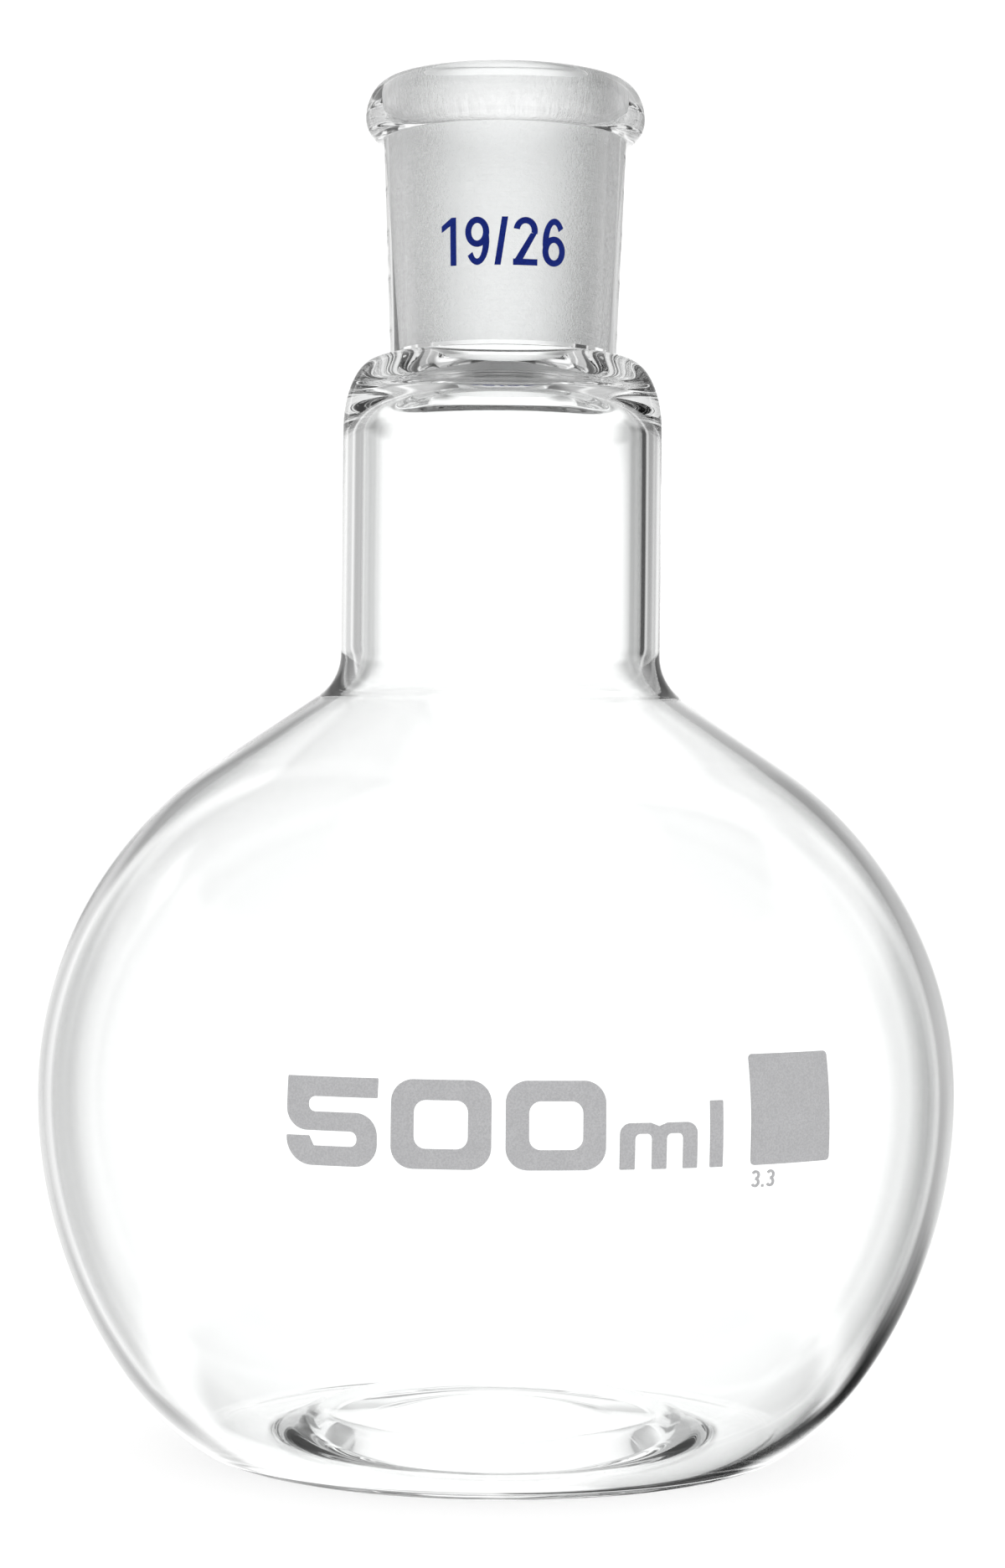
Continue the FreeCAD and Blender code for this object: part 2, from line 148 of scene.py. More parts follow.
@dataclass
class Tree:
    """A node tree with short ways to add a node and to feed its sockets."""

    tree: NodeTree

    def add(self, kind: str, feeds: dict | None = None, **settings: object) -> Node:
        """Adds a node.

        Args:
            kind: The node's type name.
            feeds: What goes into its inputs, by name or index: a socket to link, or a plain value.
            settings: The node's own options.

        Returns:
            The new node.
        """
        node = self.tree.nodes.new(kind)
        for name, value in settings.items():
            setattr(node, name, value)
        for key, value in (feeds or {}).items():
            if isinstance(value, NodeSocket):
                self.tree.links.new(value, node.inputs[key])
            else:
                node.inputs[key].default_value = value
        return node

    def out(self, kind: str, feeds: dict | None = None, **settings: object) -> NodeSocket:
        """Adds a node and returns its first output."""
        return self.add(kind, feeds, **settings).outputs[0]

    def maths(self, operation: str, *values: object) -> NodeSocket:
        """Adds a Math node and returns its result."""
        return self.out("ShaderNodeMath", dict(enumerate(values)), operation=operation)

    def ramp(self, value: object, low: float, high: float, start: float = 0.0, end: float = 1.0,
             smooth: bool = True) -> NodeSocket:
        """Adds a Map Range node from low..high to start..end and returns its result."""
        feeds = {"Value": value, "From Min": low, "From Max": high, "To Min": start, "To Max": end}
        kind = "SMOOTHSTEP" if smooth else "LINEAR"
        return self.out("ShaderNodeMapRange", feeds, interpolation_type=kind)

    def product(self, first: object, *others: object) -> NodeSocket:
        """Multiplies values and returns the product."""
        for other in others:
            first = self.maths("MULTIPLY", first, other)
        return first

    def distance(self, x: object, y: object) -> NodeSocket:
        """Gives the length of a flat vector from its two parts."""
        return self.maths("SQRT", self.maths("ADD", self.product(x, x), self.product(y, y)))

    def mix(self, share: object, first: object, second: object) -> NodeSocket:
        """Mixes two colours by a share and returns the colour."""
        return self.add("ShaderNodeMix", {0: share, 6: first, 7: second}, data_type="RGBA").outputs[2]

    def axes(self, vector: NodeSocket) -> dict[str, NodeSocket]:
        """Splits a vector into X, Y and Z."""
        return self.add("ShaderNodeSeparateXYZ", {0: vector}).outputs

    def noise(self, place: object, scale: object, detail: float,
              roughness: float = 0.5) -> NodeSocket:
        """Adds a Noise texture and returns its value."""
        feeds = {"Vector": place, "Scale": scale, "Detail": detail, "Roughness": roughness}
        return self.out("ShaderNodeTexNoise", feeds)

    def bump(self, height: object, distance: object) -> NodeSocket:
        """Adds a Bump node and returns its normal."""
        return self.out("ShaderNodeBump", {"Height": height, "Distance": distance, "Strength": 1.0})

    def surface(self, kind: str, feeds: dict) -> None:
        """Adds a shader and the material output that it feeds."""
        self.add("ShaderNodeOutputMaterial", {"Surface": self.out(kind, feeds)})


def new_group(name: str, inputs: dict[str, str], outputs: dict[str, str],
              kind: str = "ShaderNodeTree") -> Tree:
    """Starts a node group.

    Args:
        name: The group's name.
        inputs: What each input carries, by name: Float, Vector, Geometry and so on.
        outputs: What each output carries, by name.
        kind: The type of its tree.

    Returns:
        The group's tree, still empty.
    """
    group = bpy.data.node_groups.new(name, kind)
    for way, sockets in (("INPUT", inputs), ("OUTPUT", outputs)):
        for title, carries in sockets.items():
            group.interface.new_socket(title, in_out=way, socket_type="NodeSocket" + carries)
    return Tree(group)


class Finish(Enum):
    """The finishes of this flask, by material name."""

    CLEAR = "clear_blown_glass"
    GROUND = "ground_matt_glass"
    GREY_ENAMEL = "grey_fired_enamel"
    BLUE_ENAMEL = "blue_fired_enamel"
    FLOOR = "pale_studio_floor"


def glass_flow_group() -> NodeTree:
    """Makes the group for the soft unevenness that blowing and drawing leave in glass.

    Returns:
        A group with inputs Swell, Draw and Depth and the output Normal.
    """
    flow = new_group(
        "glass_flow", dict.fromkeys(("Swell", "Draw", "Depth"), "Float"), {"Normal": "Vector"})
    given = flow.add("NodeGroupInput").outputs
    axes = flow.axes(flow.add("ShaderNodeTexCoord").outputs["Object"])
    drawn = flow.out("ShaderNodeCombineXYZ", {
        0: axes["X"], 1: axes["Y"], 2: flow.product(axes["Z"], given["Draw"])})
    swell = flow.noise(drawn, given["Swell"], detail=1.5)
    flow.add("NodeGroupOutput", {"Normal": flow.bump(swell, given["Depth"])})
    return flow.tree


def enamel_grain_group() -> NodeTree:
    """Makes the group for the grain of screen-printed enamel: fine specks and a slower unevenness.

    Returns:
        A group with inputs Speck Scale and Cloud Scale and the outputs Speck, Cloud and Height.
    """
    scales = dict.fromkeys(("Speck Scale", "Cloud Scale"), "Float")
    shares = dict.fromkeys(("Speck", "Cloud", "Height"), "Float")
    speck_band, cloud_band = (0.36, 0.64), (0.3, 0.7)
    grain = new_group("enamel_grain", scales, shares)
    given = grain.add("NodeGroupInput").outputs
    place = grain.add("ShaderNodeTexCoord").outputs["Object"]
    speck = grain.noise(place, given["Speck Scale"], detail=3.0, roughness=0.65)
    cloud = grain.noise(place, given["Cloud Scale"], detail=4.0, roughness=0.6)
    grain.add("NodeGroupOutput", {
        "Speck": grain.ramp(speck, *speck_band), "Cloud": grain.ramp(cloud, *cloud_band),
        "Height": speck})
    return grain.tree


def cleared_tree(owner: Material | World) -> Tree:
    """Switches the nodes of a material or a world on and gives their tree, empty."""
    owner.use_nodes = True
    owner.node_tree.nodes.clear()
    return Tree(owner.node_tree)


def new_material(finish: Finish) -> tuple[Material, Tree]:
    """Makes an empty material and gives it with its tree."""
    material = bpy.data.materials.new(finish.value)
    return material, cleared_tree(material)


@dataclass(frozen=True)
class BlownGlass:
    """Clear fire-polished borosilicate glass, with a soft swell in its surface."""

    index: float = 1.473
    tint: Colour = (0.992, 0.998, 0.996, 1.0)
    roughness: float = 0.0
    swell_scale: float = 38.0
    swell_draw: float = 0.35
    swell_depth: float = 0.00012

    def build(self, flow: NodeTree) -> Material:
        """Makes the clear glass.

        Args:
            flow: The group for its unevenness.

        Returns:
            The material.
        """
        material, tree = new_material(Finish.CLEAR)
        feeds = {"Swell": self.swell_scale, "Draw": self.swell_draw, "Depth": self.swell_depth}
        tree.surface("ShaderNodeBsdfPrincipled", {
            "Base Color": self.tint, "Roughness": self.roughness, "IOR": self.index,
            "Transmission Weight": 1.0, "Normal": tree.out("ShaderNodeGroup", feeds, node_tree=flow)})
        return material


@dataclass(frozen=True)
class GroundGlass:
    """Glass ground matt inside the socket: fine grit, with short scratches round the bore."""

    index: float = 1.473
    tint: Colour = (0.93, 0.94, 0.94, 1.0)
    roughness_low: float = 0.42
    roughness_high: float = 0.62
    grit_scale: float = 2600.0
    grit_band: Pair = (0.3, 0.7)
    grit_share: float = 0.7
    scratch_scale: float = 900.0
    scratch_stretch: tuple[float, float, float] = (0.35, 0.35, 2.6)
    scratch_share: float = 0.6
    relief: float = 0.00009

    def build(self) -> Material:
        """Makes the matt ground glass."""
        material, tree = new_material(Finish.GROUND)
        place = tree.add("ShaderNodeTexCoord").outputs["Object"]
        stretched = tree.out("ShaderNodeMapping", {"Vector": place, "Scale": self.scratch_stretch})
        grit = tree.noise(place, self.grit_scale, detail=4.0, roughness=0.7)
        scratch = tree.noise(stretched, self.scratch_scale, detail=3.0)
        height = tree.maths(
            "ADD", tree.product(grit, self.grit_share), tree.product(scratch, self.scratch_share))
        tree.surface("ShaderNodeBsdfPrincipled", {
            "Base Color": self.tint, "IOR": self.index, "Transmission Weight": 1.0,
            "Roughness": tree.ramp(grit, *self.grit_band, self.roughness_low, self.roughness_high),
            "Normal": tree.bump(height, self.relief)})
        return material


@dataclass(frozen=True)
class FiredEnamel:
    """Enamel printed through a screen and fired: nearly matt, with a fine grain and a cloudy tone."""

    finish: Finish
    tone: Colour
    speck_tone: Colour
    cloud_tone: Colour
    speck_share: float
    cloud_share: float
    speck_scale: float = 5200.0
    cloud_scale: float = 420.0
    roughness_low: float = 0.5
    roughness_high: float = 0.68
    relief: float = 0.000012
    shine: float = 0.5

    def build(self, grain: NodeTree) -> Material:
        """Makes the enamel.

        Args:
            grain: The group for the grain of the print.

        Returns:
            The material.
        """
        material, tree = new_material(self.finish)
        scales = {"Speck Scale": self.speck_scale, "Cloud Scale": self.cloud_scale}
        given = tree.add("ShaderNodeGroup", scales, node_tree=grain).outputs
        clouded = tree.mix(tree.product(given["Cloud"], self.cloud_share), self.tone, self.cloud_tone)
        coloured = tree.mix(tree.product(given["Speck"], self.speck_share), clouded, self.speck_tone)
        tree.surface("ShaderNodeBsdfPrincipled", {
            "Base Color": coloured, "Specular IOR Level": self.shine,
            "Roughness": tree.ramp(given["Speck"], 0.0, 1.0, self.roughness_low, self.roughness_high),
            "Normal": tree.bump(given["Height"], self.relief)})
        return material


def placed(name: str, data: ID) -> Object:
    """Puts a mesh or a camera into the scene as an object at the origin."""
    thing = bpy.data.objects.new(name, data)
    bpy.context.collection.objects.link(thing)
    return thing


@dataclass
class GlassBody:
    """The blown flask: bulb, flat base, neck, closed shoulder, ground socket and beaded rim."""

    bulb_radius: float = 52.5
    upper_arc_radius: float = 45.2
    lower_arc_radius: float = 55.8
    bulb_wall: float = 1.7
    heel_run_radius: float = 32.0
    heel_radius: float = 4.2
    heel_run_start: float = 34.1
    heel_start: float = 56.7
    punt_foot_radius: float = 26.0
    punt_top_radius: float = 9.0
    punt_height: float = 1.8
    base_thickness: float = 2.6
    floor_foot_radius: float = 26.5
    floor_top_radius: float = 19.0
    slope: float = 34.0
    neck_radius: float = 18.4
    neck_wall: float = 2.25
    neck_fillet_radius: float = 6.0
    neck_length: float = 25.8
    shoulder_rise: float = 8.2
    shoulder_step: float = 1.2
    step_fillet_radius: float = 0.35
    roof_thickness: float = 4.1
    roof_rise: float = 5.0
    bore_lip: float = 4.7
    joint_large_diameter: float = 18.8
    joint_length: float = 26.0
    joint_taper_run: float = 10.0
    socket_seat_rise: float = 1.1
    ground_overrun: float = 2.9
    socket_wall_bottom: float = 4.95
    socket_wall_top: float = 4.7
    bead_projection: float = 2.1
    bead_underside_rise: float = 2.6
    bead_crown_rise: float = 4.3
    mouth_lip_width: float = 3.45
    mouth_lip_rise: float = 1.9
    clear_mouth: float = 0.3
    segments: int = 224
    crease: float = 0.03
    weld_distance: float = 0.002
    ground_margin: float = 0.2

    def __post_init__(self) -> None:
        """Works out the levels and centres that the curves share."""
        run_sine = math.sin(math.radians(self.heel_run_start))
        heel_sine = math.sin(math.radians(self.heel_start))
        run_reach = self.lower_arc_radius - self.heel_run_radius
        heel_reach = self.heel_run_radius - self.heel_radius
        self.equator = run_reach * run_sine
        self.equator += heel_reach * heel_sine + self.heel_radius
        self.upper_centre = (self.bulb_radius - self.upper_arc_radius, self.equator)
        self.lower_centre = (self.bulb_radius - self.lower_arc_radius, self.equator)
        self.run_centre = on_circle(self.lower_centre, run_reach, -self.heel_run_start)
        self.heel_centre = on_circle(self.run_centre, heel_reach, -self.heel_start)
        self.outer_rise = self.rise_to_neck(
            self.upper_arc_radius, self.neck_fillet_radius, self.neck_radius)
        self.neck_foot = self.outer_rise[-1][1]
        self.neck_top = self.neck_foot + self.neck_length
        self.shoulder_top = self.neck_top + self.shoulder_rise
        self.roof = self.shoulder_top - self.roof_thickness
        self.ground_foot = self.shoulder_top + self.socket_seat_rise
        self.ground_head = self.ground_foot + self.joint_length + self.ground_overrun
        self.rim_top = self.ground_head + self.mouth_lip_rise
        self.bead_middle = self.rim_top - self.bead_crown_rise
        self.bead_foot = self.bead_middle - self.bead_underside_rise
        self.bore_radius = (self.joint_large_diameter - self.joint_length / self.joint_taper_run) / 2
        self.ground_head_radius = self.bore_at(self.ground_head)
        self.matt_head = self.ground_head - self.clear_mouth
        self.socket_foot_radius = self.bore_radius + self.socket_wall_bottom
        self.socket_head_radius = self.bore_at(self.bead_foot) + self.socket_wall_top
        self.crest = (self.ground_head_radius + self.mouth_lip_width, self.rim_top)

    def bore_at(self, height: float) -> float:
        """Gives the radius of the ground cone at a height."""
        return self.bore_radius + (height - self.ground_foot) / (2 * self.joint_taper_run)

    def rise_to_neck(self, arc_radius: float, fillet_radius: float, wall_radius: float) -> Outline:
        """Samples the way from the widest level up the slope and round the fillet to a neck wall.

        Args:
            arc_radius: Radius of the bulb's upper arc on this side of the wall.
            fillet_radius: Radius of the hollow fillet on this side.
            wall_radius: Radius of the neck wall on this side.

        Returns:
            The points, from the bulb's widest place upwards.
        """
        turn = 90 - self.slope
        normal = on_circle(self.upper_centre, arc_radius + fillet_radius, turn)
        run = (normal[0] - wall_radius - fillet_radius) / math.sin(math.radians(turn))
        centre = on_circle(normal, run, turn + 90)
        bulb = arc_points(self.upper_centre, arc_radius, 0, turn, 1.5)
        fillet = arc_points(centre, fillet_radius, turn - 180, -180, 4.0)
        return chain(bulb, line_points(bulb[-1], fillet[0], 2.5), fillet)

    def outer_face(self) -> Outline:
        """Samples the outside, from the middle of the push-up out and up to the crest of the rim."""
        punt_top = (self.punt_top_radius, self.punt_height)
        punt_foot = (self.punt_foot_radius, 0)
        heel, run = self.heel_start, self.heel_run_start
        neck_top = (self.neck_radius, self.neck_top)
        foot = (self.socket_foot_radius, self.shoulder_top + self.step_fillet_radius)
        step_edge = (foot[0] + self.step_fillet_radius, self.shoulder_top)
        shoulder = (foot[0] + self.shoulder_step, self.shoulder_top)
        underside = (self.socket_head_radius, self.bead_foot)
        bead = (self.socket_head_radius + self.bead_projection, self.bead_middle)
        return chain(
            line_points((0, self.punt_height), punt_top, 3.0),
            step_points(punt_top, punt_foot, 22),
            line_points(punt_foot, (self.heel_centre[0], 0), 2.0),
            arc_points(self.heel_centre, self.heel_radius, -90, -heel, 3.0),
            arc_points(self.run_centre, self.heel_run_radius, -heel, -run, 2.0),
            arc_points(self.lower_centre, self.lower_arc_radius, -run, 0, 1.5),
            self.outer_rise,
            line_points(self.outer_rise[-1], neck_top, 3.5),
            quarter_points(neck_top, shoulder, 18),
            line_points(shoulder, step_edge, 0.5),
            quarter_points(step_edge, foot, 7, upright=False),
            line_points(foot, underside, 2.5)[:-1],
            [(underside[0] - self.crease / 20, underside[1] - self.crease), underside],
            quarter_points(underside, bead, 12, upright=False),
            quarter_points(bead, self.crest, 16),
        )

    def inner_face(self) -> Outline:
        """Samples the inside, from the crest of the rim down to the middle of the floor."""
        wall, heel, run = self.bulb_wall, self.heel_start, self.heel_run_start
        floor_top = (self.floor_top_radius, self.punt_height + self.base_thickness)
        floor_foot = (self.floor_foot_radius, wall)
        neck_bore = self.neck_radius - self.neck_wall
        roof_foot = (neck_bore, self.roof - self.roof_rise)
        lip_head = (self.bore_radius, self.roof + self.bore_lip)
        lip_end = (self.bore_radius + self.bore_lip, self.roof)
        mouth = (self.ground_head_radius, self.ground_head)
        matt_head = (self.bore_at(self.matt_head), self.matt_head)
        ground_foot = (self.bore_radius, self.ground_foot)
        rise = self.rise_to_neck(
            self.upper_arc_radius - wall, self.neck_fillet_radius + self.neck_wall, neck_bore)
        return chain(
            quarter_points(self.crest, mouth, 14, upright=False),
            line_points(mouth, matt_head, 1.1),
            line_points(matt_head, ground_foot, 1.8),
            line_points(ground_foot, lip_head, 1.0),
            quarter_points(lip_head, lip_end, 18),
            quarter_points(lip_end, roof_foot, 18, upright=False),
            line_points(roof_foot, rise[-1], 3.5),
            rise[::-1],
            arc_points(self.lower_centre, self.lower_arc_radius - wall, 0, -run, 1.5),
            arc_points(self.run_centre, self.heel_run_radius - wall, -run, -heel, 2.0),
            arc_points(self.heel_centre, self.heel_radius - wall, -heel, -90, 4.0),
            line_points((self.heel_centre[0], wall), floor_foot, 2.0),
            step_points(floor_foot, floor_top, 22),
            line_points(floor_top, (0, floor_top[1]), 3.0),
        )

    def bulb_face(self, height: float, lift: float) -> float:
        """Gives the radius of the bulb's outer face at a height, lifted off the glass."""
        if height < self.equator:
            centre, radius = self.lower_centre, self.lower_arc_radius
        else:
            centre, radius = self.upper_centre, self.upper_arc_radius
        return centre[0] + math.sqrt((radius + lift) ** 2 - (height - self.equator) ** 2)

    def socket_face(self, height: float, lift: float) -> float:
        """Gives the radius of the socket's outer face at a height, lifted off the glass."""
        foot = self.shoulder_top + self.step_fillet_radius
        share = (height - foot) / (self.bead_foot - foot)
        widening = self.socket_head_radius - self.socket_foot_radius
        return self.socket_foot_radius + widening * share + lift

    def lathe_tree(self) -> NodeTree:
        """Builds the Geometry Nodes lathe, which turns a row of section points into a closed wall.

        Returns:
            A tree with the inputs Section, Section Points, Segments, Ground Foot, Ground Head,
            Ground Reach, Clear Glass and Ground Glass.
        """
        tree = new_group("glass_lathe", {
            "Section": "Geometry", "Section Points": "Int", "Segments": "Int",
            "Ground Foot": "Float", "Ground Head": "Float", "Ground Reach": "Float",
            "Clear Glass": "Material", "Ground Glass": "Material",
        }, {"Wall": "Geometry"}, "GeometryNodeTree")
        given = tree.add("NodeGroupInput").outputs
        columns = tree.maths("ADD", given["Segments"], 1.0)
        grid = tree.out("GeometryNodeMeshGrid", {
            "Vertices X": given["Section Points"], "Vertices Y": columns})
        index = tree.out("GeometryNodeInputIndex")
        row = tree.maths("FLOOR", tree.maths("DIVIDE", index, columns))
        column = tree.maths("MODULO", index, columns)
        turn = tree.product(tree.maths("DIVIDE", column, given["Segments"]), math.tau)
        place = tree.out("GeometryNodeInputPosition")
        section = tree.axes(tree.out(
            "GeometryNodeSampleIndex", {"Geometry": given["Section"], "Index": row, "Value": place},
            data_type="FLOAT_VECTOR", domain="POINT"))
        turned = tree.out("ShaderNodeCombineXYZ", {
            0: tree.product(section["X"], tree.maths("COSINE", turn)),
            1: tree.product(section["X"], tree.maths("SINE", turn)),
            2: section["Z"]})
        wall = tree.out("GeometryNodeSetPosition", {0: grid, "Position": turned})
        closed = tree.out("GeometryNodeMergeByDistance", {
            0: wall, "Distance": self.weld_distance * MM})
        outward = tree.out("GeometryNodeFlipFaces", {0: closed})
        smooth = tree.out("GeometryNodeSetShadeSmooth", {0: outward, "Shade Smooth": True})
        at = tree.axes(place)
        ground = tree.product(
            tree.maths("GREATER_THAN", at["Z"], given["Ground Foot"]),
            tree.maths("LESS_THAN", at["Z"], given["Ground Head"]),
            tree.maths("LESS_THAN", tree.distance(at["X"], at["Y"]), given["Ground Reach"]))
        clear = tree.out("GeometryNodeSetMaterial", {0: smooth, "Material": given["Clear Glass"]})
        matt = tree.out("GeometryNodeSetMaterial", {
            0: clear, "Selection": ground, "Material": given["Ground Glass"]})
        tree.add("NodeGroupOutput", {0: matt})
        return tree.tree

    def build(self, clear: Material, ground: Material) -> Object:
        """Turns the glass on the lathe.

        Args:
            clear: The clear glass.
            ground: The matt glass of the ground cone.

        Returns:
            The glass, standing for the CAD node flask.
        """
        points = chain(self.outer_face(), self.inner_face())
        mesh = bpy.data.meshes.new("wall_section")
        edges = [(i, i + 1) for i in range(len(points) - 1)]
        mesh.from_pydata([(r * MM, 0, z * MM) for r, z in points], edges, [])
        blank = placed("wall_section", mesh)
        modifier = blank.modifiers.new("lathe", "NODES")
        modifier.node_group = self.lathe_tree()
        given = {
            "Section Points": len(points), "Segments": self.segments,
            "Ground Foot": self.ground_foot * MM, "Ground Head": self.matt_head * MM,
            "Ground Reach": (self.ground_head_radius + self.ground_margin) * MM,
            "Clear Glass": clear, "Ground Glass": ground,
        }
        for socket in modifier.node_group.interface.items_tree:
            if socket.name in given:
                modifier[socket.identifier] = given[socket.name]
        evaluated = blank.evaluated_get(bpy.context.evaluated_depsgraph_get())
        turned = bpy.data.meshes.new_from_object(evaluated)
        turned.name = "glass_body"
        while turned.materials and turned.materials[0] is None:
            turned.materials.pop(index=0)
        blank.modifiers.clear()
        bpy.data.objects.remove(blank)
        return placed("glass_body", turned)


@dataclass
class Shape:
    """A flat field of colour: one outline and the outlines of its holes, on its own baseline."""

    outline: Outline
    holes: list[Outline] = field(default_factory=list)

    def covers(self, place: Pair) -> bool:
        """Says whether a point is in the field and in none of its holes."""
        return inside(place, self.outline) and not any(inside(place, hole) for hole in self.holes)


def inside(place: Pair, outline: Outline) -> bool:
    """Says whether a point is inside a closed outline."""
    x, z = place
    found = False
    for (ax, az), (bx, bz) in zip(outline, outline[1:] + outline[:1]):
        if (az > z) != (bz > z) and x < (bx - ax) * (z - az) / (bz - az) + ax:
            found = not found
    return found


@dataclass
class Mark:
    """One figure or letter: its shapes, and the width that it takes on the line."""

    shapes: list[Shape]
    width: float

    def covers(self, place: Pair) -> bool:
        """Says whether a point is in one of the shapes."""
        return any(shape.covers(place) for shape in self.shapes)


@dataclass
class Print:
    """A row of marks laid on a round face of the glass as a thin enamel skin."""

    name: str
    face: Callable[[float, float], float]
    arc_radius: float
    baseline: float
    start_arc: float
    gap: float
    marks: list[Mark]
    thickness: float = 0.09
    clearance: float = 0.006
    grid: float = 0.7
    crease_angle: float = 40.0

    def skin(self, mark: Mark) -> tuple[list[Pair], list[tuple[int, int, int]]]:
        """Fills one mark with triangles, fine enough to follow the glass.

        Args:
            mark: The mark to fill.

        Returns:
            The flat points and the triangles.
        """
        points: list[Vector] = []
        edges: list[tuple[int, int]] = []
        for shape in mark.shapes:
            for outline in [shape.outline, *shape.holes]:
                first = len(points)
                points += [Vector(place) for place in outline]
                edges += [(first + i, first + (i + 1) % len(outline)) for i in range(len(outline))]
        low = [min(p[axis] for p in points) for axis in (0, 1)]
        size = [max(p[axis] for p in points) - low[axis] for axis in (0, 1)]
        across, up = (math.ceil(length / self.grid) for length in size)
        grid = [
            (low[0] + size[0] * i / across, low[1] + size[1] * j / up)
            for i in range(1, across) for j in range(1, up)]
        points += [Vector(place) for place in grid if mark.covers(place)]
        made, _, faces, *_ = delaunay_2d_cdt(points, edges, [], 0, SAME_PLACE / 10, False)
        kept = [
            tuple(face) for face in faces
            if mark.covers(sum((made[i] for i in face), Vector((0, 0))) / len(face))]
        return [tuple(p) for p in made], kept

    def lay(self, flat: Pair, turn: float, lift: float) -> Vector:
        """Lays a flat point on the glass, turned round the axis by radians, and gives it in metres."""
        depth = math.sqrt(self.face(flat[1], lift) ** 2 - flat[0] ** 2)
        return Matrix.Rotation(turn, 3, "Z") @ (Vector((flat[0], -depth, flat[1])) * MM)

    def build(self, material: Material) -> Object:
        """Lays the whole row.

        Args:
            material: The enamel.

        Returns:
            The print as one mesh of closed skins.
        """
        skin = bmesh.new()
        left = self.start_arc
        for mark in self.marks:
            points, faces = self.skin(mark)
            turn = (left + mark.width / 2) / self.arc_radius
            flat = {
                i: (points[i][0] - mark.width / 2, points[i][1] + self.baseline)
                for i in sorted({i for face in faces for i in face})}
            sides = [
                {i: skin.verts.new(self.lay(place, turn, lift)) for i, place in flat.items()}
                for lift in (self.clearance, self.thickness)]
            rim = set()
            for face in faces:
                for side in sides:
                    skin.faces.new([side[i] for i in face])
                for edge in zip(face, face[1:] + face[:1]):
                    rim ^= {tuple(sorted(edge))}
            for a, b in rim:
                skin.faces.new([sides[0][a], sides[0][b], sides[1][b], sides[1][a]])
            left += mark.width + self.gap
        bmesh.ops.recalc_face_normals(skin, faces=skin.faces)
        mesh = bpy.data.meshes.new(self.name)
        skin.to_mesh(mesh)
        skin.free()
        mesh.shade_smooth()
        mesh.set_sharp_from_angle(angle=math.radians(self.crease_angle))
        mesh.materials.append(material)
        return placed(self.name, mesh)


@dataclass
class CapacityFigures:
    """The broad figures and letters of the capacity mark."""

    height: float = 9.0
    five_width: float = 9.75
    zero_width: float = 10.2
    zero_stem: float = 2.35
    zero_bar: float = 2.05
    zero_corner: float = 2.25
    zero_counter: float = 1.2
    five_bar: float = 2.0
    five_middle_bar: float = 1.9
    five_left_stem: float = 2.4
    five_right_stem: float = 2.1
    five_bowl: float = 2.3
    five_foot: float = 2.8
    five_slot: float = 0.7
    five_terminal_width: float = 2.5
    five_terminal_rise: float = 1.0
    m_width: float = 8.4
    m_height: float = 4.7
    m_stem: float = 1.6
    m_bar: float = 1.1
    m_shoulder: float = 1.15
    m_arch: float = 0.5
    m_notch_depth: float = 0.35
    m_notch_width: float = 1.8
    l_width: float = 1.5
    l_height: float = 6.8
    edge: float = 0.1
    step: float = 0.6

    def block(self, left: float, low: float, right: float, high: float, radius: float) -> Outline:
        """Draws a rectangle with rounded corners."""
        corners = [(left, low), (left, high), (right, high), (right, low)]
        return rounded_outline([(x, z, radius) for x, z in corners], self.step)

    def zero(self) -> Mark:
        """Draws the 0: a rounded block with a rounded counter."""
        width, height, stem, bar = self.zero_width, self.height, self.zero_stem, self.zero_bar
        counter = self.block(stem, bar, width - stem, height - bar, self.zero_counter)
        return Mark([Shape(self.block(0, 0, width, height, self.zero_corner), [counter])], width)

    def five(self) -> Mark:
        """Draws the 5 as one outline: flag, upper bowl, lower bowl and foot."""
        width, height, bar, edge = self.five_width, self.height, self.five_bar, self.edge
        slot = (height - 2 * bar - self.five_middle_bar) / 2
        flag = height - bar
        left, right = self.five_left_stem, width - self.five_right_stem
        top, bottom = flag - slot, bar + slot
        end, terminal = self.five_terminal_width, bar + self.five_terminal_rise
        corners = [
            (0, height, edge), (width, height, edge), (width, flag, edge),
            (left, flag, self.five_slot), (left, top, self.five_slot),
            (width, top, self.five_bowl), (width, 0, self.five_bowl), (0, 0, self.five_foot),
            (0, terminal, edge), (end, terminal, edge),
            (end + self.five_terminal_rise / 2, bar, edge), (right, bar, self.five_slot),
            (right, bottom, self.five_slot), (0, bottom, self.five_bowl),
        ]
        return Mark([Shape(rounded_outline(corners, self.step))], width)

    def letter_m(self) -> Mark:
        """Draws the m as one outline: two arches with a shallow notch between them."""
        width, height, stem, edge = self.m_width, self.m_height, self.m_stem, self.edge
        middle, arch, notch = width / 2, height - self.m_bar, self.m_notch_width / 2
        corners = [
            (0, 0, edge), (0, height, self.m_shoulder), (middle - notch, height, edge),
            (middle, height - self.m_notch_depth, edge), (middle + notch, height, edge),
            (width, height, self.m_shoulder), (width, 0, edge),
        ]
        for side in (width - stem, middle - stem / 2):
            within = side - (middle - 1.5 * stem)
            corners += [(side, 0, edge), (side, arch, self.m_arch)]
            corners += [(within, arch, self.m_arch), (within, 0, edge)]
        return Mark([Shape(rounded_outline(corners, self.step))], width)

    def letter_l(self) -> Mark:
        """Draws the l: a plain upright bar."""
        bar = self.block(0, 0, self.l_width, self.l_height, self.edge)
        return Mark([Shape(bar)], self.l_width)


